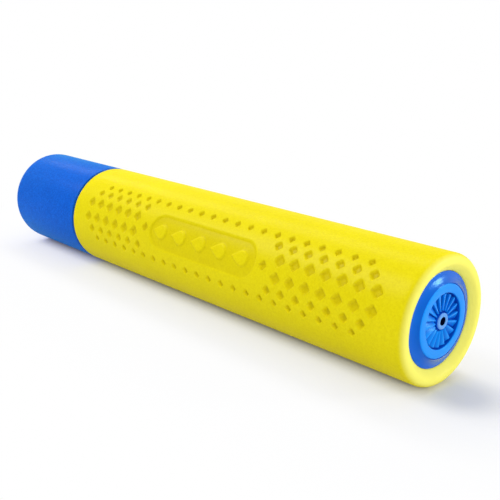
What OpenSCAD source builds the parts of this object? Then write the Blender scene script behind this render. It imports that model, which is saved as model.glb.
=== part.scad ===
// Water squirter: a barrel in a foam sleeve, filled and emptied by a plunger with a foam grip.
// The barrel's axis lies along X with the nozzle towards +X, and the foam rests on the plane z = 0.

/* [Foam] */
// Outside diameter of the sleeve and the grip
foam_od = 60; // [56:1:80]
// Length of the sleeve
sleeve_len = 254; // [220:1:400]
// Length of the grip
grip_len = 79; // [60:1:120]
// Gap between the sleeve and the grip with the plunger home
grip_gap = 1; // [0.5:0.1:3]
// Rounding of the sleeve's front outer edge
front_edge_r = 3.2; // [1:0.1:6]
// Depth to which the sleeve's front face slopes in around the nozzle, from where its crest would be sharp
mouth_dip = 3.9; // [1:0.1:4.5]
// Rounding of the outer edges where the sleeve and the grip meet
seam_edge_r = 1.2; // [0.4:0.1:3]
// Rounding of the grip's rear edge
rear_edge_r = 7.3; // [2:0.1:8]

/* [Dimple band] */
// Turn of the band above the sleeve's side, in degrees
band_turn = 22.7; // [0:0.1:45]
// Spacing of the dimples along the sleeve
dimple_pitch = 9.54; // [8:0.01:12]
// Depth of a dimple
dimple_depth = 1.4; // [0.5:0.1:2]
// Corner to corner size of the dimples in the two rows next to the middle
near_dimple = 6.5; // [4:0.1:7]
// Corner to corner size of the dimples in the rows outside those
mid_dimple = 5.1; // [3:0.1:5.5]
// Corner to corner size of the dimples in the outermost rows
far_dimple = 4; // [2:0.1:4.5]
// Distance of the near rows from the band's middle, round the sleeve
near_row = 4.4; // [4:0.1:5.5]
// Distance of the middle rows from the near rows
mid_row_step = 6.8; // [6.5:0.1:8]
// Distance of the outermost rows from the middle rows
far_row_step = 5.4; // [5:0.1:7]
// Least plain length at each end of the sleeve
plain_end = 17; // [12:1:24]
// Columns of dimples behind the panel
rear_cols = 6; // [3:1:7]
// Columns of dimples in front of the panel
front_cols = 7; // [3:1:8]

/* [Panel] */
// Height of the panel round the sleeve
panel_h = 19; // [14:0.5:22]
// Depth of the panel
panel_depth = 0.8; // [0.4:0.1:1.5]
// Distance from the panel's ends to the centres of the dimples beyond them
panel_end_gap = 5.6; // [4.5:0.1:8]
// Number of raised drops in the panel
drop_count = 5; // [3:1:6]
// Diameter of a drop's round end
drop_d = 8; // [5:0.1:10]
// Distance from a drop's centre to its point
drop_tail = 7.4; // [6:0.1:9]

/* [Barrel] */
// Outside diameter of the barrel tube
barrel_od = 40; // [39:0.5:44]
// Wall of the barrel tube
barrel_wall = 1.8; // [1.2:0.1:2]
// Wall of the skirts that the nozzle cap and the guide cap put over the barrel
skirt_wall = 1.8; // [1.5:0.1:2.5]
// Length of barrel that each skirt covers
skirt_lap = 12; // [9:0.5:20]
// Distance from the sleeve's rear face to the guide cap's rear face
guide_setback = 2.5; // [1:0.1:6]
// Thickness of the guide cap's end wall
guide_wall = 3.5; // [2:0.1:6]
// Length of the guide cap's spigot inside the barrel
spigot_len = 8; // [6:0.5:14]
// Diameter of the guide cap's screws
guide_screw_d = 2.6; // [2:0.1:3]
// Diameter of their countersunk heads
guide_screw_head_d = 4.8; // [4:0.1:5.5]
// Depth of their heads
guide_screw_head_h = 1.2; // [0.8:0.1:1.4]
// Depth that they reach into the spigot
guide_screw_bite = 3.4; // [2:0.1:4]
// Number of guide cap screws
guide_screw_count = 3; // [2:1:4]

/* [Nozzle] */
// Distance from the sleeve's front face to the nozzle cap's rim
rim_setback = 3.1; // [2:0.1:4]
// Distance from the sleeve's front face to the vane insert's rim
face_setback = 0.9; // [0.2:0.1:1.8]
// Width of the nozzle cap's sloping face
slope_w = 4.9; // [3:0.1:6]
// Bulge of that face above a straight slope
slope_bulge = 0.45; // [0.2:0.05:0.7]
// Width of the vane insert's flat rim
rim_w = 4.2; // [2:0.1:5]
// Thickness of the vane insert
insert_t = 4.6; // [4.4:0.1:7]
// Depth of the recess that holds the vanes
recess_depth = 2.6; // [2:0.1:2.8]
// Number of vanes
vane_count = 18; // [10:1:24]
// Height of a vane's front edge above the recess floor
vane_high = 1.8; // [1.1:0.1:1.9]
// Height of a vane's back edge above the recess floor
vane_low = 0.7; // [0.1:0.1:1]
// Gap between the vanes and the recess wall
vane_end_gap = 0.7; // [0.3:0.1:1.5]
// Diameter of the jet tip's ring
tip_od = 7.5; // [6:0.1:9]
// Groove between the jet tip's ring and the vanes
tip_groove = 0.9; // [0.4:0.1:1.5]
// Distance from the vane insert's rim back to the jet tip's front
tip_setback = 0.1; // [0:0.1:0.8]
// Diameter of the jet hole
jet_d = 3.8; // [2:0.1:4.5]
// Rounding of the jet tip's edges
tip_edge_r = 0.5; // [0.2:0.05:0.6]
// Width of the jet tip's flange outside its ring
tip_flange_w = 2.8; // [1.5:0.1:4]
// Thickness of the jet tip's flange
tip_flange_t = 1; // [0.8:0.1:1.4]
// Thickness of the nozzle cap's inner wall
cap_wall = 2.4; // [1.6:0.1:4]
// Thickness of the gasket
gasket_t = 1.2; // [0.8:0.1:2]

/* [Plunger] */
// Wall of the plunger tube
rod_wall = 1.6; // [1.2:0.1:2.5]
// Gap between the piston and the nozzle cap with the plunger home
home_gap = 0.3; // [0.2:0.1:1]
// Length of the piston
piston_len = 24; // [22:0.5:36]
// Depth of the piston's socket for the plunger tube
socket_depth = 10; // [7:0.5:12]
// Thickness of a piston ring
ring_d = 3; // [2.4:0.1:3.2]
// Wall of the piston between its ring grooves and the plunger tube
ring_wall = 1.8; // [1.4:0.1:4]
// Width of the piston's land in front of the first ring
front_land = 4; // [2:0.1:5]
// Width of the piston's land between the rings
ring_land = 4; // [2:0.1:5]
// Length of the plug in the front of the plunger tube
plug_len = 16; // [14:0.5:30]
// Diameter of the piston screw
piston_screw_d = 4; // [3:0.1:5]
// Diameter of its head
piston_screw_head_d = 7.6; // [6.5:0.1:9]
// Height of its head
piston_screw_head_h = 2.4; // [1.6:0.1:3]
// Length that it reaches into the plug
piston_screw_bite = 12; // [8:0.5:13]
// Outside diameter of the washer under it
washer_od = 12; // [10:0.1:16]
// Thickness of that washer
washer_t = 1; // [0.6:0.1:1.6]

/* [Handle] */
// Wall of the handle core
core_wall = 2.9; // [2:0.1:4]
// Diameter of the handle core's front flange
flange_od = 46; // [40:0.5:50]
// Thickness of that flange
flange_t = 2.5; // [1.6:0.1:4]
// Depth of the flange's face below the grip's front face
flange_recess = 0.3; // [0:0.1:1]
// Diameter of the end cap's flange
end_flange_od = 40; // [36:0.5:41]
// Thickness of that flange
end_flange_t = 2.5; // [1.6:0.1:4]
// Depth of the end cap's face below the grip's rear face
end_recess = 0.4; // [0:0.1:1]
// Diameter of the dish in the end cap's face
dish_d = 27; // [20:0.5:30]
// Depth of that dish
dish_depth = 0.7; // [0.3:0.1:1]
// Length of the end cap's plug
end_plug_len = 15; // [10:0.5:25]
// Wall of the end cap's plug
end_plug_wall = 2; // [1.2:0.1:3]
// Diameter of the cross pin
pin_d = 4; // [3:0.1:5]
// Depth of the pin's ends below the core's surface
pin_sink = 0.3; // [0.1:0.1:0.6]

/* [Fits] */
// Clearance between pieces that are bonded or pressed together
seat_gap = 0.1; // [0.05:0.05:0.2]
// Clearance between the plunger tube and its guide
slide_gap = 0.2; // [0.1:0.05:0.3]
// Clearance between the piston and the barrel
piston_gap = 0.4; // [0.2:0.05:0.6]
// Clearance between the piston rings and the barrel
seal_gap = 0.1; // [0.05:0.05:0.2]
// Clearance around a ring in its groove
groove_gap = 0.2; // [0.1:0.05:0.3]

/* [Hidden] */
$fn = 96;

// Reach of a cut past the face it opens
overrun = 1;

// Share of a wall that the rounding of its outer edge may take
outer_edge_share = 0.55;
// Share of a vane's pitch that the vane takes
vane_share = 0.82;
// Share of a vane that is flat along its front edge
vane_land_share = 0.22;

// Radii, from the foam to the rod
foam_r = foam_od / 2;
barrel_r = barrel_od / 2;
bore_r = barrel_r - barrel_wall;
skirt_r = barrel_r + seat_gap;
cap_r = skirt_r + skirt_wall;
sleeve_bore_r = barrel_r + seat_gap;
mouth_r = cap_r + seat_gap;
socket_r = cap_r - slope_w;
face_r = socket_r - seat_gap;
recess_r = face_r - rim_w;
tip_r = tip_od / 2;
tip_hole_r = tip_r + seat_gap;
tip_flange_r = tip_r + tip_flange_w;
jet_r = jet_d / 2;
spigot_r = bore_r - seat_gap;
piston_r = bore_r - piston_gap;
ring_out_r = bore_r - seal_gap;
ring_mid_r = ring_out_r - ring_d / 2;
groove_r = ring_out_r - ring_d - groove_gap;
rod_seat_r = groove_r - ring_wall;
rod_r = rod_seat_r - seat_gap;
rod_bore_r = rod_r - rod_wall;
guide_r = rod_r + slide_gap;
plug_r = rod_bore_r - seat_gap;
core_r = rod_seat_r + core_wall;

// Places along X, from the front face to the rear face
total_len = sleeve_len + grip_gap + grip_len;
front_x = total_len / 2;
rim_x = front_x - rim_setback;
face_x = front_x - face_setback;
tip_x = face_x - tip_setback;
recess_x = face_x - recess_depth;
insert_back_x = face_x - insert_t;
cap_in_x = insert_back_x - cap_wall;
barrel_front_x = cap_in_x - gasket_t;
piston_x = cap_in_x - home_gap;
washer_x = piston_x - piston_screw_head_h - washer_t - seat_gap;
groove_1_x = piston_x - front_land;
groove_w = ring_d + 2 * groove_gap;
groove_2_x = groove_1_x - groove_w - ring_land;
piston_back_x = piston_x - piston_len;
rod_front_x = piston_back_x + socket_depth;
seam_x = front_x - sleeve_len;
guide_back_x = seam_x + guide_setback;
barrel_rear_x = guide_back_x + guide_wall;
spigot_x = barrel_rear_x + spigot_len;
guide_screw_x = barrel_rear_x + spigot_len / 2;
grip_x = seam_x - grip_gap;
flange_x = grip_x - flange_recess;
rear_x = -total_len / 2;
end_face_x = rear_x + end_recess;
rod_rear_x = end_face_x + end_flange_t;
pin_x = rod_rear_x + end_plug_len / 2;

// Roundings, each kept within its wall
mouth_wall = foam_r - mouth_r;
front_round = min(front_edge_r, outer_edge_share * mouth_wall);
crest_r = foam_r - front_round;
mouth_slope = atan(mouth_dip / (crest_r - mouth_r));
rear_round = min(rear_edge_r, foam_r - end_flange_od / 2 - 2 * seat_gap);

// Columns and rows of the dimple band
cols = floor((sleeve_len - 2 * plain_end) / dimple_pitch) + 1;
last_rear_col = rear_cols - 1;
first_front_col = cols - front_cols;
mid_row = near_row + mid_row_step;
far_row = mid_row + far_row_step;
near_cols = [for (k = [0 : cols - 1]) if (k <= last_rear_col || k >= first_front_col) k];
mid_cols = [for (k = [0 : cols - 2]) if (k <= last_rear_col || k >= first_front_col - 1) k + 0.5];
far_cols = [for (k = [1 : cols - 2]) k];
panel_rear_x = col_x(rear_cols) + panel_end_gap;
panel_front_x = col_x(first_front_col - 1) - panel_end_gap;
panel_len = panel_front_x - panel_rear_x;
drop_step = (panel_len - panel_h) / (drop_count - 1);

function col_x(k) = front_x - sleeve_len / 2 + (k - (cols - 1) / 2) * dimple_pitch;

// The centre of the arc that bulges by sag above the chord from a to b
function arc_r(a, b, sag) = (norm(b - a) ^ 2 / 4 + sag ^ 2) / (2 * sag);
function arc_centre(a, b, sag) =
    (a + b) / 2 + (arc_r(a, b, sag) - sag) * [(b - a)[1], -(b - a)[0]] / norm(b - a);

// Stands a shape, turned about Z, along the barrel's axis
module along_barrel() {
    translate([0, 0, foam_r])
        rotate([0, 90, 0])
            children();
}

// Turns an outline of [radius, place along the barrel] about the barrel's axis
module turned() {
    along_barrel()
        rotate_extrude()
            children();
}

// Half section of a ring
module band(r_in, r_out, x_low, x_high) {
    translate([r_in, x_low])
        square([r_out - r_in, x_high - x_low]);
}

// What a rounding takes off the corner at [radius, x], which points towards [side_r, side_x]
module corner_cut(corner, side_r, side_x, round_r) {
    translate(corner)
        scale([side_r, side_x])
            difference() {
                translate([-round_r, -round_r])
                    square(round_r + overrun);
                translate([-round_r, -round_r])
                    circle(round_r);
            }
}

// Sets a shape on the foam's surface with its z outwards, at an arc from the band's middle
module on_band(x, arc) {
    rotate([0, 0, arc / foam_r * 180 / PI])
        translate([foam_r, 0, x])
            rotate([0, 90, 0])
                children();
}

// Both sides of the sleeve
module each_side() {
    for (side = [0, 180])
        rotate([0, 0, side - 90 - band_turn])
            children();
}

// Diamond pits at a list of columns, in two rows that mirror each other
module dimple_rows(columns, arc, size) {
    for (k = columns, way = [-1, 1])
        on_band(col_x(k), way * arc)
            dimple(size);
}

module dimple(size) {
    translate([0, 0, -dimple_depth])
        cylinder(h = dimple_depth + overrun, d = size, $fn = 4);
}

// A plain drop whose point looks towards the grip
module drop() {
    circle(d = drop_d);
    tangent_turn = acos(drop_d / 2 / drop_tail);
    polygon([[drop_tail, 0],
        drop_d / 2 * [cos(tangent_turn), sin(tangent_turn)],
        drop_d / 2 * [cos(tangent_turn), -sin(tangent_turn)]]);
}

// Outline of the sunk panel, round the raised drops
module panel_outline() {
    straight = panel_len - panel_h;
    difference() {
        union() {
            square([straight, panel_h], center = true);
            for (end = [-1, 1])
                translate([end * straight / 2, 0])
                    circle(d = panel_h);
        }
        for (k = [0 : drop_count - 1])
            translate([k * drop_step - straight / 2, 0])
                drop();
    }
}

module panel_cut() {
    intersection() {
        on_band((panel_rear_x + panel_front_x) / 2, 0)
            translate([0, 0, -foam_r / 2])
                linear_extrude(foam_r / 2 + overrun)
                    panel_outline();
        translate([0, 0, panel_rear_x - overrun])
            rotate_extrude()
                band(foam_r - panel_depth, foam_r + 2 * overrun, 0, panel_len + 2 * overrun);
    }
}

// What the front face loses inside its crest, down a slope that leaves the crest's rounding without a corner
module mouth_cut() {
    crest_centre = [crest_r, front_x - front_round];
    slope_start = crest_centre + front_round * [-sin(mouth_slope), cos(mouth_slope)];
    slope_end_r = mouth_r - overrun;
    slope_end_x = slope_start[1] - (slope_start[0] - slope_end_r) * tan(mouth_slope);
    difference() {
        polygon([
            [slope_end_r, slope_end_x],
            slope_start,
            [crest_r, slope_start[1]],
            [crest_r, front_x + overrun],
            [slope_end_r, front_x + overrun]]);
        translate(crest_centre)
            circle(front_round);
    }
}

module sleeve_outline() {
    difference() {
        band(sleeve_bore_r, foam_r, seam_x, front_x);
        band(sleeve_bore_r - overrun, mouth_r, barrel_front_x - skirt_lap, front_x + overrun);
        band(sleeve_bore_r - overrun, mouth_r, seam_x - overrun, barrel_rear_x + skirt_lap);
        corner_cut([foam_r, front_x], 1, 1, front_round);
        mouth_cut();
        corner_cut([foam_r, seam_x], 1, -1, seam_edge_r);
    }
}

module foam_sleeve() {
    color("yellow")
        along_barrel()
            difference() {
                rotate_extrude()
                    sleeve_outline();
                each_side() {
                    dimple_rows(near_cols, near_row, near_dimple);
                    dimple_rows(mid_cols, mid_row, mid_dimple);
                    dimple_rows(far_cols, far_row, far_dimple);
                    for (k = [rear_cols, first_front_col - 1])
                        on_band(col_x(k), 0)
                            dimple(mid_dimple);
                    panel_cut();
                }
            }
}

// Lays a shape, made along Z, from the axis outwards at each guide cap screw
module at_guide_screws() {
    along_barrel()
        for (k = [0 : guide_screw_count - 1])
            rotate([0, 0, k * 360 / guide_screw_count])
                translate([0, 0, guide_screw_x])
                    rotate([0, 90, 0])
                        children();
}

// A countersunk screw from its tip to its head, grown by gap
module guide_screw(gap) {
    tip_z = spigot_r - guide_screw_bite;
    head_z = cap_r - guide_screw_head_h / 4;
    translate([0, 0, tip_z - gap])
        cylinder(h = head_z - tip_z + gap, d = guide_screw_d + 2 * gap);
    translate([0, 0, head_z - guide_screw_head_h])
        cylinder(h = guide_screw_head_h, d1 = guide_screw_d + 2 * gap, d2 = guide_screw_head_d + 2 * gap);
    if (gap > 0)
        translate([0, 0, head_z])
            cylinder(h = overrun, d = guide_screw_head_d + 2 * gap);
}

module barrel_tube() {
    color("white")
        difference() {
            turned()
                band(bore_r, barrel_r, barrel_rear_x, barrel_front_x);
            at_guide_screws()
                guide_screw(seat_gap);
        }
}

module nozzle_cap_outline() {
    slope_low = [cap_r, rim_x];
    slope_high = [socket_r, face_x];
    difference() {
        union() {
            band(tip_hole_r, cap_r, cap_in_x, rim_x);
            band(skirt_r, cap_r, barrel_front_x - skirt_lap, cap_in_x);
            intersection() {
                band(socket_r, cap_r, rim_x, face_x);
                translate(arc_centre(slope_high, slope_low, slope_bulge))
                    circle(arc_r(slope_high, slope_low, slope_bulge));
            }
        }
        band(0, socket_r, insert_back_x, front_x);
    }
}

module nozzle_cap() {
    color("royalblue")
        turned()
            nozzle_cap_outline();
}

// One vane: a ramp that climbs from its back edge to the flat land along its front edge
module vane() {
    turn = vane_share * 360 / vane_count;
    r_in = tip_r + tip_groove;
    r_out = recess_r - vane_end_gap;
    foot = recess_x - recess_depth / 4;
    back = recess_x + vane_low;
    crest = recess_x + vane_high;
    turns = [0, (1 - vane_land_share) * turn, turn];
    tops = [back, crest, crest];
    points = [for (k = [0 : 2], r = [r_in, r_out], x = [foot, tops[k]])
        [r * cos(turns[k]), r * sin(turns[k]), x]];
    ends = [[0, 1, 3], [0, 3, 2], [10, 11, 9], [10, 9, 8]];
    sides = [[0, 2, 6], [0, 6, 4], [1, 7, 3], [1, 5, 7], [2, 3, 7], [2, 7, 6], [4, 5, 1], [4, 1, 0]];
    next_sides = [for (side = sides) [for (corner = side) corner + 4]];
    polyhedron(points, concat(ends, sides, next_sides));
}

module vane_insert() {
    color("dodgerblue")
        along_barrel() {
            rotate_extrude()
                difference() {
                    band(tip_hole_r, face_r, insert_back_x, face_x);
                    band(0, recess_r, recess_x, front_x);
                    band(0, tip_flange_r + seat_gap, insert_back_x - overrun, insert_back_x + tip_flange_t);
                }
            for (k = [0 : vane_count - 1])
                rotate([0, 0, k * 360 / vane_count])
                    vane();
        }
}

module jet_tip() {
    color("lightsteelblue")
        turned()
            difference() {
                union() {
                    band(jet_r, tip_r, cap_in_x, tip_x);
                    band(jet_r, tip_flange_r, insert_back_x, insert_back_x + tip_flange_t);
                }
                corner_cut([tip_r, tip_x], 1, 1, tip_edge_r);
                corner_cut([jet_r, tip_x], -1, 1, tip_edge_r);
            }
}

module nozzle_gasket() {
    color("dimgray")
        turned()
            band(bore_r, barrel_r, barrel_front_x, cap_in_x);
}

module guide_cap() {
    color("royalblue")
        difference() {
            turned() {
                band(guide_r, cap_r, guide_back_x, barrel_rear_x);
                band(guide_r, spigot_r, barrel_rear_x, spigot_x);
                band(skirt_r, cap_r, barrel_rear_x, barrel_rear_x + skirt_lap);
            }
            at_guide_screws()
                guide_screw(seat_gap);
        }
}

module guide_screws() {
    color("silver")
        at_guide_screws()
            guide_screw(0);
}

module piston_ring(groove_x) {
    color("dimgray")
        turned()
            translate([ring_mid_r, groove_x - groove_w / 2])
                circle(d = ring_d);
}

module piston_ring_front() {
    piston_ring(groove_1_x);
}

module piston_ring_rear() {
    piston_ring(groove_2_x);
}

module plunger_tube() {
    color("white")
        difference() {
            turned()
                band(rod_bore_r, rod_r, rod_rear_x, rod_front_x);
            handle_pin_hole();
        }
}

module piston_head() {
    color("white")
        turned()
            difference() {
                band(piston_screw_d / 2 + seat_gap, piston_r, piston_back_x, piston_x);
                band(0, washer_od / 2 + seat_gap, washer_x, piston_x + overrun);
                band(0, rod_seat_r, piston_back_x - overrun, rod_front_x);
                for (x = [groove_1_x, groove_2_x])
                    band(groove_r, piston_r + overrun, x - groove_w, x);
            }
}

module tube_front_plug() {
    color("white")
        turned()
            band(piston_screw_d / 2 + seat_gap, plug_r, rod_front_x - plug_len, rod_front_x);
}

module piston_washer() {
    color("silver")
        turned()
            band(piston_screw_d / 2 + seat_gap, washer_od / 2, washer_x, washer_x + washer_t);
}

module piston_screw() {
    head_x = washer_x + washer_t;
    color("silver")
        turned() {
            band(0, piston_screw_d / 2, rod_front_x - piston_screw_bite, head_x);
            band(0, piston_screw_head_d / 2, head_x, head_x + piston_screw_head_h);
        }
}

module handle_core() {
    color("royalblue")
        difference() {
            turned() {
                band(rod_seat_r, core_r, rod_rear_x, flange_x);
                band(rod_seat_r, flange_od / 2, flange_x - flange_t, flange_x);
            }
            handle_pin_hole();
        }
}

module foam_grip() {
    color("dodgerblue")
        turned()
            difference() {
                band(core_r + seat_gap, foam_r, rear_x, grip_x);
                band(0, flange_od / 2 + seat_gap, flange_x - flange_t, grip_x + overrun);
                band(0, end_flange_od / 2 + seat_gap, rear_x - overrun, rod_rear_x);
                corner_cut([foam_r, grip_x], 1, 1, seam_edge_r);
                corner_cut([foam_r, rear_x], 1, -1, rear_round);
            }
}

// The cross pin's hole, right through the handle
module handle_pin_hole() {
    translate([pin_x, 0, foam_r])
        rotate([90, 0, 0])
            cylinder(h = 2 * (core_r + overrun), d = pin_d + 2 * seat_gap, center = true);
}

module handle_pin() {
    color("silver")
        translate([pin_x, 0, foam_r])
            rotate([90, 0, 0])
                cylinder(h = 2 * (core_r - pin_sink), d = pin_d, center = true);
}

module handle_end_cap() {
    color("royalblue")
        difference() {
            turned()
                difference() {
                    union() {
                        band(0, end_flange_od / 2, end_face_x, rod_rear_x);
                        band(plug_r - end_plug_wall, plug_r, rod_rear_x, rod_rear_x + end_plug_len);
                    }
                    band(0, dish_d / 2, end_face_x - overrun, end_face_x + dish_depth);
                }
            handle_pin_hole();
        }
}

foam_sleeve();
barrel_tube();
nozzle_cap();
vane_insert();
jet_tip();
nozzle_gasket();
guide_cap();
guide_screws();
piston_ring_front();
piston_ring_rear();
plunger_tube();
piston_head();
tube_front_plug();
piston_washer();
piston_screw();
handle_core();
foam_grip();
handle_pin();
handle_end_cap();
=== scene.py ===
import math

import bmesh
import bpy
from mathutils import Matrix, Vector


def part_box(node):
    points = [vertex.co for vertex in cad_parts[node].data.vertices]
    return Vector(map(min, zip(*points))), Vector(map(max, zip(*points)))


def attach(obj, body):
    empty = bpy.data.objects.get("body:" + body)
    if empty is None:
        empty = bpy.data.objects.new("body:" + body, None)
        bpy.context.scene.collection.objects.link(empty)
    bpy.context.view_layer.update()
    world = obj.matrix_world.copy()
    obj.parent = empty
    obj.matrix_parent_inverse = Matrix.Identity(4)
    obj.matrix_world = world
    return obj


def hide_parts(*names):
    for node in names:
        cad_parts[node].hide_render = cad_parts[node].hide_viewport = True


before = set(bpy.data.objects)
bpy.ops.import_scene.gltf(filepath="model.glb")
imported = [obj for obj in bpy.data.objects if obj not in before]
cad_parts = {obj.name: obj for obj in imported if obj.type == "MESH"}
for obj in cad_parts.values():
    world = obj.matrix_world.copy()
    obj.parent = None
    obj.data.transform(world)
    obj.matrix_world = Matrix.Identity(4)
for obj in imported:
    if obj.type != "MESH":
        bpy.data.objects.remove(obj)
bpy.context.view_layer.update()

# Pieces are shaped in millimetres about the barrel's axis, and set in their place at the end.
MM = 0.001

# Gap between a piece and its seat, and the distance within which points are welded
fit_gap, weld = 0.1, 0.002

# Steps round a large, a middling and a small turned piece
large_steps, middle_steps, small_steps = 128, 96, 72


def span(name):
    """Rear end, front end and largest radius of a node, in millimetres."""
    low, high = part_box(name)
    return low[0] / MM, high[0] / MM, (high[1] - low[1]) / 2 / MM


sleeve_rear, sleeve_front, foam_r = span("foam_sleeve")
grip_rear, grip_front, grip_r = span("foam_grip")
cap_rear, cap_front, cap_r = span("nozzle_cap")
insert_rear, insert_front, insert_r = span("vane_insert")
tip_rear, tip_front, tip_flange_r = span("jet_tip")
end_rear, end_front, end_r = span("handle_end_cap")
barrel_rear, _, barrel_r = span("barrel_tube")
core_rear, core_front, core_flange_r = span("handle_core")
axis_z = foam_r * MM


# Materials, with the scales of their grain in waves per metre

foam_grain, foam_pores, foam_clouds = 950.0, 2200.0, 28.0
mould_drift, mould_marks = 55.0, 700.0
turning_marks = 420.0
rubber_dust, rubber_grain = 260.0, 1800.0


def new_finish(name):
    """An empty procedural material, its node tree and its shader."""
    finish = bpy.data.materials.new(name)
    finish.use_nodes = True
    tree = finish.node_tree
    return finish, tree, tree.nodes["Principled BSDF"]


def add(tree, kind, values=None, **settings):
    """A new node with its settings and the values of its sockets."""
    made = tree.nodes.new(kind)
    for key, value in settings.items():
        setattr(made, key, value)
    for key, value in (values or {}).items():
        made.inputs[key].default_value = value
    return made


def place(tree, stretch=(1.0, 1.0, 1.0)):
    """Object coordinates, stretched where a grain runs along the piece."""
    coords = add(tree, "ShaderNodeTexCoord")
    mapping = add(tree, "ShaderNodeMapping", {"Scale": stretch})
    tree.links.new(coords.outputs["Object"], mapping.inputs["Vector"])
    return mapping.outputs["Vector"]


def noise(tree, where, scale, detail=3.0, roughness=0.5):
    """An uneven value between zero and one."""
    made = add(tree, "ShaderNodeTexNoise", {"Scale": scale, "Detail": detail, "Roughness": roughness})
    tree.links.new(where, made.inputs["Vector"])
    return made.outputs["Fac"]


def cells(tree, where, scale):
    """Distance to the middle of the nearest cell."""
    made = add(tree, "ShaderNodeTexVoronoi", {"Scale": scale})
    tree.links.new(where, made.inputs["Vector"])
    return made.outputs["Distance"]


def ramp(tree, value, *stops):
    """Colours along a value."""
    made = add(tree, "ShaderNodeValToRGB")
    bar = made.color_ramp.elements
    while len(bar) < len(stops):
        bar.new(0.5)
    for stop, (at, colour) in zip(bar, stops):
        stop.position = at
        stop.color = (*colour, 1.0)
    tree.links.new(value, made.inputs["Fac"])
    return made.outputs["Color"]


def spread(tree, value, low, high, start=0.3, end=0.7):
    """The value's middle range, spread from low to high."""
    values = {"From Min": start, "From Max": end, "To Min": low, "To Max": high}
    made = add(tree, "ShaderNodeMapRange", values)
    tree.links.new(value, made.inputs["Value"])
    return made.outputs["Result"]


def sum_of(tree, a, b):
    """Two values added."""
    made = add(tree, "ShaderNodeMath", operation="ADD")
    tree.links.new(a, made.inputs[0])
    tree.links.new(b, made.inputs[1])
    return made.outputs[0]


def tint(tree, colour, other):
    """One colour multiplied by another."""
    made = add(tree, "ShaderNodeMix", data_type="RGBA", blend_type="MULTIPLY")
    made.inputs["Factor"].default_value = 1.0
    tree.links.new(colour, made.inputs["A"])
    tree.links.new(other, made.inputs["B"])
    return made.outputs["Result"]


def relief(tree, shader, height, strength, depth):
    """Bumps of a depth in metres."""
    made = add(tree, "ShaderNodeBump", {"Strength": strength, "Distance": depth})
    tree.links.new(height, made.inputs["Height"])
    tree.links.new(made.outputs["Normal"], shader.inputs["Normal"])


def blend_colour(tree, share, colour, other):
    """From one colour to another, by a share."""
    made = add(tree, "ShaderNodeMix", data_type="RGBA")
    tree.links.new(share, made.inputs["Factor"])
    tree.links.new(colour, made.inputs["A"])
    made.inputs["B"].default_value = (*other, 1.0)
    return made.outputs["Result"]


def stored(tree, name):
    """A number that the mesh holds at its points."""
    return add(tree, "ShaderNodeAttribute", attribute_name=name).outputs["Fac"]


def foam_finish(name, dark, body, pale, gloss, bloom, sheen, end=None):
    """Closed-cell foam: a speckled skin with a soft sheen; painted shade darkens its pits and panel, and a
    painted highlight makes its front end paler.
    """
    finish, tree, shader = new_finish(name)
    where = place(tree)
    speckle = noise(tree, where, foam_grain, 3.0, 0.6)
    colour = ramp(tree, speckle, (0.34, dark), (0.50, body), (0.66, pale))
    clouds = ramp(tree, noise(tree, where, foam_clouds), (0.3, (0.96, 0.95, 0.93)), (0.7, (1.0, 1.0, 1.0)))
    colour = tint(tree, colour, clouds)
    if end:
        # Painted shade: darker and more orange in the pits and the panel floor, by their stored depth
        deep = ramp(tree, stored(tree, "sunk"), (0.0, (1.0, 1.0, 1.0)), (1.0, (0.85, 0.82, 0.50)))
        colour = tint(tree, colour, deep)
        # Painted highlight: paler towards the end colour over the front end, by the stored share
        colour = blend_colour(tree, stored(tree, "cut"), colour, end)
    tree.links.new(colour, shader.inputs["Base Color"])
    tree.links.new(spread(tree, speckle, 0.40, 0.50), shader.inputs["Roughness"])
    skin = sum_of(tree, cells(tree, where, foam_grain), noise(tree, where, foam_pores, 2.0))
    relief(tree, shader, skin, 0.15, 0.0004)
    shader.inputs["Specular IOR Level"].default_value = 0.0
    shader.inputs["Coat Weight"].default_value = gloss
    shader.inputs["Coat Roughness"].default_value = 0.28
    shader.inputs["Sheen Weight"].default_value = bloom
    shader.inputs["Sheen Roughness"].default_value = 0.32
    shader.inputs["Sheen Tint"].default_value = (*sheen, 1.0)
    return finish


def plastic_finish(name, body, deep, rough, gloss, glint=(1.0, 1.0, 1.0), stretch=(1.0, 1.0, 1.0),
                   hollow=None):
    """Moulded plastic: slow drifts of colour, flow marks, an uneven gloss and, where asked, painted shade
    in its hollows.
    """
    finish, tree, shader = new_finish(name)
    where = place(tree, stretch)
    drift = noise(tree, where, mould_drift)
    colour = ramp(tree, drift, (0.32, deep), (0.68, body))
    # Painted shade: towards the hollow colour where the stored depth is high
    if hollow:
        colour = blend_colour(tree, stored(tree, "sunk"), colour, hollow)
    tree.links.new(colour, shader.inputs["Base Color"])
    marks = noise(tree, where, mould_marks)
    tree.links.new(spread(tree, marks, rough * 0.85, rough * 1.2), shader.inputs["Roughness"])
    relief(tree, shader, marks, 0.03, 0.0003)
    shader.inputs["Specular IOR Level"].default_value = gloss
    shader.inputs["Specular Tint"].default_value = (*glint, 1.0)
    return finish


def steel_finish(name):
    """Steel with turning marks."""
    finish, tree, shader = new_finish(name)
    where = place(tree, (12.0, 1.0, 1.0))
    marks = noise(tree, where, turning_marks, 4.0)
    colour = ramp(tree, marks, (0.3, (0.46, 0.46, 0.48)), (0.7, (0.66, 0.66, 0.68)))
    tree.links.new(colour, shader.inputs["Base Color"])
    tree.links.new(spread(tree, marks, 0.24, 0.40), shader.inputs["Roughness"])
    relief(tree, shader, marks, 0.05, 0.0002)
    shader.inputs["Metallic"].default_value = 1.0
    return finish


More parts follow.
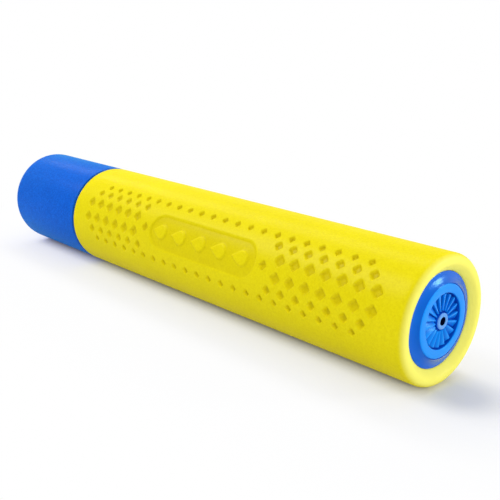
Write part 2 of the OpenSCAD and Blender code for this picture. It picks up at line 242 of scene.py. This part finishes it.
def rubber_finish(name):
    """Dark seal rubber with a dusty bloom."""
    finish, tree, shader = new_finish(name)
    where = place(tree)
    bloom = noise(tree, where, rubber_dust, 4.0)
    colour = ramp(tree, bloom, (0.35, (0.022, 0.022, 0.023)), (0.75, (0.055, 0.055, 0.056)))
    tree.links.new(colour, shader.inputs["Base Color"])
    tree.links.new(spread(tree, bloom, 0.45, 0.62), shader.inputs["Roughness"])
    relief(tree, shader, noise(tree, where, rubber_grain), 0.08, 0.0002)
    return finish


# The yellow foam's end colour is a painted highlight, paler over the sleeve's front end
yellow_foam = foam_finish("yellow_foam", (0.805, 0.685, 0.003), (0.845, 0.725, 0.004), (0.87, 0.76, 0.007),
                          gloss=0.11, bloom=0.05, sheen=(1.0, 1.0, 0.80), end=(0.93, 0.87, 0.15))
blue_foam = foam_finish("blue_foam", (0.002, 0.088, 0.56), (0.003, 0.112, 0.65), (0.006, 0.145, 0.74),
                        gloss=0.13, bloom=0.25, sheen=(0.10, 0.95, 0.75))
gloss_blue = plastic_finish("gloss_blue_plastic", (0.001, 0.120, 0.70), (0.001, 0.085, 0.57),
                            rough=0.19, gloss=0.50, glint=(0.15, 0.75, 1.0))
# The hollow colour paints shade into the disc's recess: its floor, the vanes' low edges and its wall
satin_blue = plastic_finish("satin_blue_plastic", (0.006, 0.29, 0.90), (0.004, 0.25, 0.85),
                            rough=0.36, gloss=0.36, glint=(0.12, 0.80, 1.0), hollow=(0.001, 0.07, 0.52))
# The jet ring's pale front face: partly the ring's own tone, partly a painted highlight
pale_blue = plastic_finish("pale_blue_plastic", (0.13, 0.35, 0.80), (0.09, 0.30, 0.74),
                           rough=0.40, gloss=0.20, glint=(0.60, 0.90, 1.0))
# Near black: painted shade on the wall of the jet's hole
painted_bore_shade = plastic_finish("painted_bore_shade_plastic", (0.001, 0.006, 0.040), (0.001, 0.003, 0.020),
                          rough=0.35, gloss=0.05)
white_plastic = plastic_finish("white_plastic", (0.84, 0.85, 0.86), (0.79, 0.80, 0.82),
                               rough=0.30, gloss=0.5, stretch=(0.25, 1.0, 1.0))
steel = steel_finish("fastener_steel")
rubber = rubber_finish("seal_rubber")


# Shaping

def outline(bm, corners, closed=True, segments=4):
    """A half section of (x, radius, rounding) corners above the axis, rounded where asked."""
    verts = [bm.verts.new((x, 0.0, radius)) for x, radius, _ in corners]
    for a, b in zip(verts, verts[1:]):
        bm.edges.new((a, b))
    if closed:
        bm.edges.new((verts[-1], verts[0]))
    for vert, (_, _, rounding) in zip(verts, corners):
        if rounding > 0:
            bmesh.ops.bevel(bm, geom=[vert], offset=rounding, offset_type="OFFSET", segments=segments,
                            profile=0.5, affect="VERTICES", material=-1, clamp_overlap=True)


def turn(bm, steps):
    """Turns what is there about the axis into a closed skin."""
    bmesh.ops.spin(bm, geom=bm.verts[:] + bm.edges[:], cent=(0, 0, 0), axis=(1, 0, 0), dvec=(0, 0, 0),
                   angle=math.tau, steps=steps, use_merge=True, use_duplicate=False)
    bmesh.ops.remove_doubles(bm, verts=bm.verts[:], dist=weld)
    bmesh.ops.recalc_face_normals(bm, faces=bm.faces[:])


def bowed(start, end, bulge, count):
    """Corners along a curve that stands out by bulge from the line between two corners."""
    start = Vector(start)
    end = Vector(end)
    along = end - start
    out = Vector((-along.y, along.x)).normalized() * -bulge
    points = []
    for k in range(1, count):
        t = k / count
        p = start + along * t + out * (1.0 - (2.0 * t - 1.0) ** 2)
        points.append((p.x, p.y, 0.0))
    return points


def finish_piece(bm, name, material, body, replaced, sharp=35.0):
    """Scales the shape to metres, sets it on the barrel's axis and hands it to its body."""
    bmesh.ops.scale(bm, vec=(MM, MM, MM), verts=bm.verts[:])
    bmesh.ops.translate(bm, vec=(0, 0, axis_z), verts=bm.verts[:])
    mesh = bpy.data.meshes.new(name)
    bm.to_mesh(mesh)
    bm.free()
    mesh.shade_smooth()
    mesh.set_sharp_from_angle(angle=math.radians(sharp))
    mesh.materials.append(material)
    piece = bpy.data.objects.new(name, mesh)
    bpy.context.scene.collection.objects.link(piece)
    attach(piece, body)
    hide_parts(replaced)
    return piece


# Foam sleeve: a flat sheet with its dimples punched in, rolled up, then closed over its ends and bore

band_turn = math.radians(22.7)
half_round = math.pi * foam_r
sides = (0.0, half_round)
sheet_weld = 0.02

# Dimples: their columns, the columns at the panel's two ends, and their rows from the band's middle line
pitch, columns = 9.54, 24
panel_rear_col, panel_front_col = 6, 16
near_row, mid_row, far_row = 4.4, 11.2, 16.6
near_size, mid_size, far_size = 6.5, 5.1, 4.0
near_cols = [k for k in range(columns) if k < panel_rear_col or k > panel_front_col]
mid_cols = [k + 0.5 for k in range(columns - 1) if k < panel_rear_col or k >= panel_front_col]
far_cols = list(range(1, columns - 1))

# One dimple: its depth, the share of it that the wall takes, and the rim
dimple_depth, wall_depth_share, rim = 1.4, 0.97, 0.3
wall_depth = wall_depth_share * dimple_depth

# Shares of a dimple's width: what the rounding leaves of it, its wall and the soft edge of its floor
kept_share, wall_share, floor_edge_share = 0.889, 0.13, 0.08


def col_x(k):
    """Place of a column of dimples along the barrel."""
    return (sleeve_rear + sleeve_front) / 2 + (k - (columns - 1) / 2) * pitch


# Panel and its drops, with the width over which their edges are soft
panel_end_gap, panel_h, panel_depth = 5.6, 19.0, 0.8
panel_rear = col_x(panel_rear_col) + panel_end_gap
panel_front = col_x(panel_front_col) - panel_end_gap
drop_r, drop_tail, drop_count = 4.0, 7.4, 5
soft_edge = 0.9

# Ends: the roundings, how far the front face slopes in, the lip of the mouth and the open seam at the rear
front_round, seam_round, mouth_dip, lip = 3.2, 0.5, 3.9, 0.4
seam_open = 0.5
seam_x = sleeve_rear + seam_open
guide_seat_len = 12.0


def stepped(start, end, count):
    """Even places from start up to, but without, end."""
    return [start + (end - start) * k / count for k in range(count)]


def sheet_lines():
    """Places of the sheet's cross lines along the barrel, and of its long lines round it."""
    end_steps, plain_steps = 3, 7
    half_cols = [col_x(k / 2) for k in range(2 * columns - 1)]
    across = stepped(seam_x + seam_round, half_cols[0], end_steps) + half_cols[:-1]
    across += stepped(half_cols[-1], sleeve_front - front_round, end_steps) + [sleeve_front - front_round]
    rows = [-far_row, -mid_row, -near_row, 0.0, near_row, mid_row]
    along = stepped(-half_round / 2, -far_row, plain_steps) + rows
    along += stepped(far_row, half_round - far_row, 2 * plain_steps) + [half_round + row for row in rows]
    along += stepped(half_round + far_row, 1.5 * half_round, plain_steps) + [1.5 * half_round]
    return across, along


def flat_sheet(bm):
    """The sheet's lattice, with a crossing at the middle of each dimple."""
    across, along = sheet_lines()
    bmesh.ops.create_grid(bm, x_segments=len(across) - 1, y_segments=len(along) - 1, size=1.0)
    for vert in bm.verts:
        i = round((vert.co.x + 1) / 2 * (len(across) - 1))
        j = round((vert.co.y + 1) / 2 * (len(along) - 1))
        vert.co = (across[i], along[j], 0.0)


def punch(bm, places, size):
    """Diamond dimples of one size, with a rim, a soft wall and a flat floor."""
    wanted = {(round(x, 2), round(arc, 2)) for x, arc in places}
    verts = [v for v in bm.verts if (round(v.co.x, 2), round(v.co.y, 2)) in wanted]
    reach = size / 2 / kept_share + rim * math.sqrt(2.0)
    cut = bmesh.ops.bevel(bm, geom=verts, offset=reach, offset_type="OFFSET", segments=1,
                          profile=0.5, affect="VERTICES", material=-1, clamp_overlap=False)
    pits = cut["faces"]
    edges = list({edge for pit in pits for edge in pit.edges})
    bmesh.ops.subdivide_edges(bm, edges=edges, cuts=2)
    bmesh.ops.inset_individual(bm, faces=pits, thickness=rim, depth=0.0, use_even_offset=True)
    bmesh.ops.inset_individual(bm, faces=pits, thickness=wall_share * size, depth=-wall_depth,
                               use_even_offset=True)
    bmesh.ops.inset_individual(bm, faces=pits, thickness=floor_edge_share * size,
                               depth=wall_depth - dimple_depth, use_even_offset=True)


def drop_gap(x, arc):
    """Distance outside a drop whose round end is at zero and whose point looks to the rear."""
    b = drop_r / drop_tail
    a = math.sqrt(1.0 - b * b)
    along = -x
    aside = abs(arc)
    side = a * along - b * aside
    if side < 0.0:
        return math.hypot(along, aside) - drop_r
    if side > a * drop_tail:
        return math.hypot(along - drop_tail, aside)
    return a * aside + b * along - drop_r


def soft_step(gap, width):
    """One well inside an edge, zero well outside it."""
    t = min(max(0.5 - gap / width, 0.0), 1.0)
    return t * t * (3.0 - 2.0 * t)


def panel_height(x, arc):
    """Height of the skin in the sunk panel, where the drops stand up to the skin's level."""
    half = panel_h / 2
    inner = min(max(x, panel_rear + half), panel_front - half)
    sunk = soft_step(math.hypot(x - inner, arc) - half, soft_edge)
    step = (panel_front - panel_rear - panel_h) / (drop_count - 1)
    gap = min(drop_gap(x - panel_rear - half - k * step, arc) for k in range(drop_count))
    return -panel_depth * sunk * (1.0 - soft_step(gap, soft_edge))


def subdivided(bm):
    """The same shape after one round of surface subdivision, as a new bmesh."""
    mesh = bpy.data.meshes.new("sheet")
    bm.to_mesh(mesh)
    bm.free()
    sheet = bpy.data.objects.new("sheet", mesh)
    bpy.context.scene.collection.objects.link(sheet)
    rounding = sheet.modifiers.new("rounding", "SUBSURF")
    rounding.levels = 1
    rounding.render_levels = 1
    rounding.boundary_smooth = "PRESERVE_CORNERS"
    depsgraph = bpy.context.evaluated_depsgraph_get()
    made = bmesh.new()
    made.from_mesh(sheet.evaluated_get(depsgraph).to_mesh())
    bpy.data.objects.remove(sheet)
    bpy.data.meshes.remove(mesh)
    return made


def roll_up(bm):
    """Rolls the sheet about the axis, the middle of its first band on the side that looks to -Y."""
    painted_shade_of = bm.verts.layers.float.new("sunk")
    # Share of the painted highlight that makes the front end and the faces inside paler
    bm.verts.layers.float.new("cut")
    for vert in bm.verts:
        x, arc, height = vert.co
        for side in sides:
            if panel_rear - soft_edge < x < panel_front + soft_edge and abs(arc - side) < mid_row:
                height += panel_height(x, arc - side)
        # The stored depth paints shade into the pits and the panel floor
        vert[painted_shade_of] = min(max(-height / dimple_depth, 0.0), 1.0)
        angle = band_turn + arc / foam_r
        radius = foam_r + height
        vert.co = (x, -radius * math.cos(angle), radius * math.sin(angle))
    bmesh.ops.remove_doubles(bm, verts=bm.verts[:], dist=sheet_weld)


def end_ring(bm, x):
    """Edges of the open end at x."""
    return [edge for edge in bm.edges if edge.is_boundary and abs(edge.verts[0].co.x - x) < sheet_weld]


def draw_ring(bm, edges, x, radius, cut):
    """Extrudes a ring of edges to a new place and radius, and stores its share of the painted highlight
    that makes the front end paler.
    """
    painted_highlight_of = bm.verts.layers.float["cut"]
    drawn = bmesh.ops.extrude_edge_only(bm, edges=edges)["geom"]
    for vert in drawn:
        if isinstance(vert, bmesh.types.BMVert):
            scale = radius / math.hypot(vert.co.y, vert.co.z)
            vert.co = (x, vert.co.y * scale, vert.co.z * scale)
            vert[painted_highlight_of] = cut
    return [edge for edge in drawn if isinstance(edge, bmesh.types.BMEdge)]


def arc_places(x, radius, round_r, start, end, count):
    """Places along a rounding about a centre, after its start, with turns in degrees."""
    turns = [math.radians(start + (end - start) * k / count) for k in range(1, count + 1)]
    return [(x + round_r * math.cos(t), radius + round_r * math.sin(t)) for t in turns]


def close_sleeve(bm):
    """Draws the skin over the front edge, in through the bore and out over the rear face."""
    mouth_r = cap_r + fit_gap
    bore_r = barrel_r + fit_gap
    rear_step = barrel_rear + guide_seat_len
    crest_r = foam_r - front_round
    front_steps, seam_steps = 12, 4
    slope = math.atan(mouth_dip / (crest_r - mouth_r))
    round_x = sleeve_front - front_round
    path = arc_places(round_x, crest_r, front_round, 90, -math.degrees(slope), front_steps)
    start_x, start_r = path[-1]
    lip_x = start_x - (start_r - mouth_r) * math.tan(slope)
    path += [(lip_x + lip * math.tan(slope), mouth_r + lip), (lip_x - lip / 2, mouth_r)]
    path += [(cap_rear, mouth_r), (cap_rear, bore_r), (rear_step, bore_r), (rear_step, mouth_r)]
    path += [(seam_x, mouth_r), (seam_x, foam_r - seam_round)]
    path += arc_places(seam_x + seam_round, foam_r - seam_round, seam_round, 180, 90, seam_steps)
    # The front rounding, the front face and the faces inside are painted paler, a painted highlight
    highlight_gain, highlight_start = 1.6, 0.5
    ring = end_ring(bm, round_x)
    for x, radius in path:
        over_front = (x - round_x) / front_round
        cut = min(max(highlight_gain * over_front - highlight_start, 0.0), 1.0)
        if radius < crest_r or x < seam_x + seam_round / 2:
            cut = 1.0
        ring = draw_ring(bm, ring, x, radius, cut)
    bmesh.ops.remove_doubles(bm, verts=bm.verts[:], dist=sheet_weld)
    bmesh.ops.recalc_face_normals(bm, faces=bm.faces[:])


def dimple_places(cols, row):
    """Places of the dimples of the two rows at a distance from the middle line, on both sides."""
    return [(col_x(k), side + way * row) for side in sides for way in (-1, 1) for k in cols]


def refine_panel(bm):
    """Cuts the lattice finely where the panel comes."""
    rear = col_x(panel_rear_col + 0.5)
    front = col_x(panel_front_col - 0.5)
    edges = set()
    for face in bm.faces:
        x, arc, _ = face.calc_center_median()
        if rear < x < front and min(abs(arc - side) for side in sides) < mid_row:
            edges.update(face.edges)
    bmesh.ops.subdivide_edges(bm, edges=list(edges), cuts=4, use_grid_fill=True)


def make_sleeve():
    bm = bmesh.new()
    flat_sheet(bm)
    at_panel_ends = [(col_x(k), side) for side in sides for k in (panel_rear_col, panel_front_col)]
    punch(bm, dimple_places(near_cols, near_row), near_size)
    punch(bm, dimple_places(mid_cols, mid_row) + at_panel_ends, mid_size)
    punch(bm, dimple_places(far_cols, far_row), far_size)
    refine_panel(bm)
    bm = subdivided(bm)
    roll_up(bm)
    close_sleeve(bm)
    piece = finish_piece(bm, "sleeve_foam", yellow_foam, "barrel", "foam_sleeve",
                         sharp=50.0)


make_sleeve()


# Grip and its end cap

def make_grip():
    bm = bmesh.new()
    flange_len, core_seat_r = 2.5, 16.1
    rear_round, mouth_round, seat_round = 7.3, 0.3, 0.5
    face_x = grip_front - seam_open
    flange_seat = core_front - flange_len
    flange_seat_r = core_flange_r + fit_gap
    end_seat_r = end_r + fit_gap
    outline(bm, [
        (face_x, flange_seat_r, mouth_round),
        (face_x, grip_r, seam_round),
        (grip_rear, grip_r, rear_round),
        (grip_rear, end_seat_r, seat_round),
        (core_rear, end_seat_r, 0.0),
        (core_rear, core_seat_r, 0.0),
        (flange_seat, core_seat_r, 0.0),
        (flange_seat, flange_seat_r, 0.0)], segments=8)
    turn(bm, large_steps)
    piece = finish_piece(bm, "grip_foam", blue_foam, "plunger", "foam_grip")


def make_end_cap():
    bm = bmesh.new()
    dish_r, dish_depth = 13.5, 0.7
    plug_r, plug_bore_r = 11.3, 9.3
    dish_round, dish_edge, flange_round, plug_round, small_round = 0.4, 0.25, 0.7, 0.6, 0.2
    outline(bm, [
        (end_rear + dish_depth, 0.0, 0.0),
        (end_rear + dish_depth, dish_r, dish_round),
        (end_rear, dish_r, dish_edge),
        (end_rear, end_r, flange_round),
        (core_rear, end_r, small_round),
        (core_rear, plug_r, 0.0),
        (end_front, plug_r, plug_round),
        (end_front, plug_bore_r, small_round),
        (core_rear, plug_bore_r, 0.0),
        (core_rear, 0.0, 0.0)], closed=False)
    turn(bm, middle_steps)
    finish_piece(bm, "end_cap", gloss_blue, "plunger", "handle_end_cap")


make_grip()
make_end_cap()


# Nozzle: the cap in the sleeve's mouth, the disc of vanes in the cap and the jet ring in the disc

# Jet ring: its radius, the radius of its hole and the length of its flange
tip_r, jet_r, tip_flange_len = 3.75, 1.9, 1.0
tip_hole_r = tip_r + fit_gap
tip_flange_front = insert_rear + tip_flange_len

# Cap: its socket for the disc, and how far its edge lies behind the sleeve's front end
socket_r = insert_r + fit_gap
cap_set_back = 3.1
cap_edge_x = sleeve_front - cap_set_back

# Disc: its rim, its recess, and the heights of a vane's two edges over the recess floor
rim_width, recess_depth = 4.2, 2.6
recess_r = insert_r - rim_width
recess_floor = insert_front - recess_depth
vane_count, vane_low, vane_high = 18, 0.7, 1.8

# How near to a wall a point counts as lying on it
touch = 0.01


def make_nozzle_cap():
    bm = bmesh.new()
    bow, bow_steps = 0.45, 10
    rear_round, edge_round, socket_round = 0.3, 0.25, 0.15
    low = (cap_edge_x, cap_r)
    high = (cap_front, socket_r)
    skirt_r = barrel_r + fit_gap
    corners = [(cap_rear, skirt_r, 0.0), (cap_rear, cap_r, rear_round), (*low, edge_round)]
    corners += bowed(low, high, bow, bow_steps)
    corners += [(*high, socket_round), (insert_rear, socket_r, 0.0), (insert_rear, tip_hole_r, 0.0)]
    corners += [(tip_rear, tip_hole_r, 0.0), (tip_rear, skirt_r, 0.0)]
    outline(bm, corners)
    turn(bm, large_steps)
    finish_piece(bm, "nozzle_cap_moulding", gloss_blue, "barrel", "nozzle_cap")


def blade(bm):
    """One vane, a hollow ramp from its low back edge to the flat land along its high front edge."""
    width_share, ramp_share, hollow = 0.82, 0.78, 1.1
    shares = (0.0, ramp_share / 3, ramp_share * 2 / 3, ramp_share, 1.0)
    gap_in, gap_out, root = 0.9, 0.7, 0.65
    crest_round, crest_angle = 0.15, 0.8
    width = math.tau / vane_count * width_share
    strips = len(shares) - 1
    bmesh.ops.create_grid(bm, x_segments=1, y_segments=strips, size=1.0)
    for vert in bm.verts:
        share = shares[round((vert.co.y + 1.0) / 2 * strips)]
        radius = recess_r - gap_out if vert.co.x > 0 else tip_r + gap_in
        rise = min(share / ramp_share, 1.0) ** hollow
        turned = width * share
        vert.co = (recess_floor + vane_low + (vane_high - vane_low) * rise,
                   -radius * math.sin(turned), radius * math.cos(turned))
    skirt = bmesh.ops.extrude_face_region(bm, geom=bm.faces[:], use_keep_orig=True)["geom"]
    for vert in skirt:
        if isinstance(vert, bmesh.types.BMVert):
            vert.co.x = recess_floor - root
    bmesh.ops.recalc_face_normals(bm, faces=bm.faces[:])
    crest = [edge for edge in bm.edges if min(vert.co.x for vert in edge.verts) > recess_floor
             and edge.calc_face_angle(0.0) > crest_angle]
    bmesh.ops.bevel(bm, geom=crest, offset=crest_round, offset_type="OFFSET", segments=2, profile=0.5,
                    affect="EDGES", material=-1, clamp_overlap=True)


def vane_ring():
    """A mesh of all the vanes."""
    bm = bmesh.new()
    blade(bm)
    bmesh.ops.spin(bm, geom=bm.verts[:] + bm.edges[:] + bm.faces[:], cent=(0, 0, 0), axis=(1, 0, 0),
                   dvec=(0, 0, 0), angle=math.tau * (vane_count - 1) / vane_count, steps=vane_count - 1,
                   use_merge=False, use_duplicate=True)
    vanes = bpy.data.meshes.new("vanes")
    bm.to_mesh(vanes)
    bm.free()
    return vanes


def paint_recess_shade(bm, wall_top):
    """Stores the painted shade of each point in the recess, by depth from the vanes' crests to below their
    low edges.
    """
    dark_share, painted_wall_shade = 0.6, 0.9
    dark_height = dark_share * vane_low
    painted_shade_of = bm.verts.layers.float.new("sunk")
    for vert in bm.verts:
        radius = math.hypot(vert.co.y, vert.co.z)
        height = vert.co.x - recess_floor
        if radius > recess_r + touch:
            continue
        vert[painted_shade_of] = min(max((vane_high - height) / (vane_high - dark_height), 0.0), 1.0)
        # The recess wall below its rounding takes painted shade as well
        if radius > recess_r - touch and vert.co.x < wall_top + touch:
            vert[painted_shade_of] = painted_wall_shade


def make_insert():
    bm = bmesh.new()
    outer_round, inner_round, floor_round = 0.6, 0.45, 0.3
    flange_seat_r = tip_flange_r + fit_gap
    outline(bm, [
        (insert_rear, flange_seat_r, 0.0),
        (insert_rear, insert_r, 0.0),
        (insert_front, insert_r, outer_round),
        (insert_front, recess_r, inner_round),
        (recess_floor, recess_r, floor_round),
        (recess_floor, tip_hole_r, 0.0),
        (tip_flange_front, tip_hole_r, 0.0),
        (tip_flange_front, flange_seat_r, 0.0)])
    turn(bm, large_steps)
    vanes = vane_ring()
    bm.from_mesh(vanes)
    bpy.data.meshes.remove(vanes)
    paint_recess_shade(bm, insert_front - inner_round)
    finish_piece(bm, "vane_disc", satin_blue, "barrel", "vane_insert")


def make_tip():
    bm = bmesh.new()
    outer_round, hole_round = 0.5, 0.4
    outline(bm, [
        (tip_rear, jet_r, 0.0),
        (tip_rear, tip_r, 0.0),
        (insert_rear, tip_r, 0.0),
        (insert_rear, tip_flange_r, 0.0),
        (tip_flange_front, tip_flange_r, 0.0),
        (tip_flange_front, tip_r, 0.0),
        (tip_front, tip_r, outer_round),
        (tip_front, jet_r, hole_round)])
    turn(bm, small_steps)
    # The hole's wall takes the near-black painted shade, and the ring's side the gloss blue
    for face in bm.faces:
        x, y, z = face.calc_center_median()
        if math.hypot(y, z) < jet_r + 2 * touch:
            face.material_index = 1
        elif x < tip_front - outer_round:
            face.material_index = 2
    # The pale finish on the front face is partly the ring's own tone, partly a painted highlight
    piece = finish_piece(bm, "jet_ring", pale_blue, "barrel", "jet_tip")
    piece.data.materials.append(painted_bore_shade)
    piece.data.materials.append(gloss_blue)


make_nozzle_cap()
make_insert()
make_tip()


# CAD nodes that keep their own shape

def dress(name, material):
    """Gives a node its finish."""
    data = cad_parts[name].data
    data.materials.clear()
    data.materials.append(material)


for name in ("barrel_tube", "plunger_tube", "piston_head", "tube_front_plug"):
    dress(name, white_plastic)
for name in ("guide_cap", "handle_core"):
    dress(name, gloss_blue)
for name in ("guide_screws", "piston_washer", "piston_screw", "handle_pin"):
    dress(name, steel)
for name in ("nozzle_gasket", "piston_ring_front", "piston_ring_rear"):
    dress(name, rubber)


# Floor, light and camera, in metres

# The floor's radius and how far it lies under the part, then where it shows the shadow
floor_r, floor_drop = 4.0, 0.0003
shadow_middle, shadow_half_len, shadow_reach = 0.012, 0.168, 0.12


def background_rays(tree):
    """One for what the camera sees, directly, in gloss or through glass."""
    path = add(tree, "ShaderNodeLightPath")
    most = path.outputs["Is Camera Ray"]
    for ray in ("Is Glossy Ray", "Is Transmission Ray"):
        both = add(tree, "ShaderNodeMath", operation="MAXIMUM")
        tree.links.new(most, both.inputs[0])
        tree.links.new(path.outputs[ray], both.inputs[1])
        most = both.outputs[0]
    return most


def make_floor():
    """A white sweep that keeps the shadow near the part and is plain white further off."""
    bm = bmesh.new()
    bmesh.ops.create_circle(bm, cap_ends=True, cap_tris=False, segments=middle_steps, radius=floor_r)
    bmesh.ops.translate(bm, vec=(0, 0, -floor_drop), verts=bm.verts[:])
    mesh = bpy.data.meshes.new("floor")
    bm.to_mesh(mesh)
    bm.free()
    finish = bpy.data.materials.new("white_floor")
    finish.use_nodes = True
    tree = finish.node_tree
    tree.nodes.clear()
    matte = add(tree, "ShaderNodeBsdfDiffuse", {"Color": (0.77, 0.78, 0.85, 1.0)})
    white = add(tree, "ShaderNodeEmission", {"Color": (1.0, 1.0, 1.0, 1.0), "Strength": 1.0})
    coords = add(tree, "ShaderNodeTexCoord")
    split = add(tree, "ShaderNodeSeparateXYZ")
    shift = add(tree, "ShaderNodeMath", operation="SUBTRACT")
    shift.inputs[1].default_value = shadow_middle
    length = add(tree, "ShaderNodeMath", operation="ABSOLUTE")
    past = add(tree, "ShaderNodeMath", operation="SUBTRACT")
    past.inputs[1].default_value = shadow_half_len
    beyond = add(tree, "ShaderNodeMath", operation="MAXIMUM")
    beyond.inputs[1].default_value = 0.0
    flat = add(tree, "ShaderNodeCombineXYZ")
    far = add(tree, "ShaderNodeVectorMath", operation="LENGTH")
    away = add(tree, "ShaderNodeMapRange", {"From Min": 0.0, "From Max": shadow_reach})
    seen = add(tree, "ShaderNodeMath", operation="MULTIPLY")
    mix = add(tree, "ShaderNodeMixShader")
    out = add(tree, "ShaderNodeOutputMaterial")
    tree.links.new(coords.outputs["Object"], split.inputs["Vector"])
    tree.links.new(split.outputs["X"], shift.inputs[0])
    tree.links.new(shift.outputs[0], length.inputs[0])
    tree.links.new(length.outputs[0], past.inputs[0])
    tree.links.new(past.outputs[0], beyond.inputs[0])
    tree.links.new(beyond.outputs[0], flat.inputs["X"])
    tree.links.new(split.outputs["Y"], flat.inputs["Y"])
    tree.links.new(flat.outputs["Vector"], far.inputs[0])
    tree.links.new(far.outputs["Value"], away.inputs["Value"])
    share = ramp(tree, away.outputs["Result"], (0.05, (0.0, 0.0, 0.0)), (0.17, (0.56, 0.56, 0.56)),
                 (0.45, (0.91, 0.91, 0.91)), (1.0, (1.0, 1.0, 1.0)))
    tree.links.new(share, seen.inputs[0])
    tree.links.new(background_rays(tree), seen.inputs[1])
    tree.links.new(seen.outputs[0], mix.inputs["Fac"])
    tree.links.new(matte.outputs["BSDF"], mix.inputs[1])
    tree.links.new(white.outputs["Emission"], mix.inputs[2])
    tree.links.new(mix.outputs["Shader"], out.inputs["Surface"])
    mesh.materials.append(finish)
    floor = bpy.data.objects.new("floor", mesh)
    bpy.context.scene.collection.objects.link(floor)


def make_world():
    """Plain soft light from all round, and a white background."""
    world = bpy.data.worlds.new("studio")
    bpy.context.scene.world = world
    world.use_nodes = True
    tree = world.node_tree
    tree.nodes.clear()
    soft = add(tree, "ShaderNodeBackground", {"Color": (1.0, 1.0, 1.0, 1.0), "Strength": 0.38})
    white = add(tree, "ShaderNodeBackground", {"Color": (1.0, 1.0, 1.0, 1.0), "Strength": 1.0})
    mix = add(tree, "ShaderNodeMixShader")
    out = add(tree, "ShaderNodeOutputWorld")
    tree.links.new(background_rays(tree), mix.inputs["Fac"])
    tree.links.new(soft.outputs["Background"], mix.inputs[1])
    tree.links.new(white.outputs["Background"], mix.inputs[2])
    tree.links.new(mix.outputs["Shader"], out.inputs["Surface"])


def make_lamp(name, location, aim, width, height, power):
    """A softbox that looks at a point."""
    data = bpy.data.lights.new(name, "AREA")
    data.shape = "RECTANGLE"
    data.size = width
    data.size_y = height
    data.energy = power
    lamp = bpy.data.objects.new(name, data)
    lamp.location = location
    lamp.rotation_euler = (Vector(aim) - Vector(location)).to_track_quat("-Z", "Y").to_euler()
    bpy.context.scene.collection.objects.link(lamp)


def make_camera():
    """The photograph's view, from a fit to the outlines."""
    data = bpy.data.cameras.new("camera")
    data.lens = 56.57
    data.sensor_width = 36.0
    data.clip_start = 0.01
    camera = bpy.data.objects.new("camera", data)
    camera.location = (0.3393, -0.2725, 0.1565)
    look = Vector((-0.7029, 0.6495, -0.2900))
    camera.rotation_euler = look.to_track_quat("-Z", "Y").to_euler()
    bpy.context.scene.collection.objects.link(camera)
    bpy.context.scene.camera = camera


make_floor()
make_world()
make_lamp("overhead_strip", (-0.85, 0.42, 0.95), (-0.85, 0.11, 0.0), 2.2, 0.30, 8.8)
make_lamp("left_softbox", (-0.75, -0.55, 0.95), (0.05, 0.0, 0.03), 0.6, 0.6, 8.4)
make_lamp("front_softbox", (1.00, 0.79, 0.40), (0.167, 0.0, 0.04), 0.30, 0.45, 6.3)
make_lamp("camera_softbox", (1.20, -0.62, 0.50), (0.167, 0.0, 0.03), 0.30, 0.30, 5.2)
make_camera()
bpy.context.scene.view_settings.view_transform = "Standard"
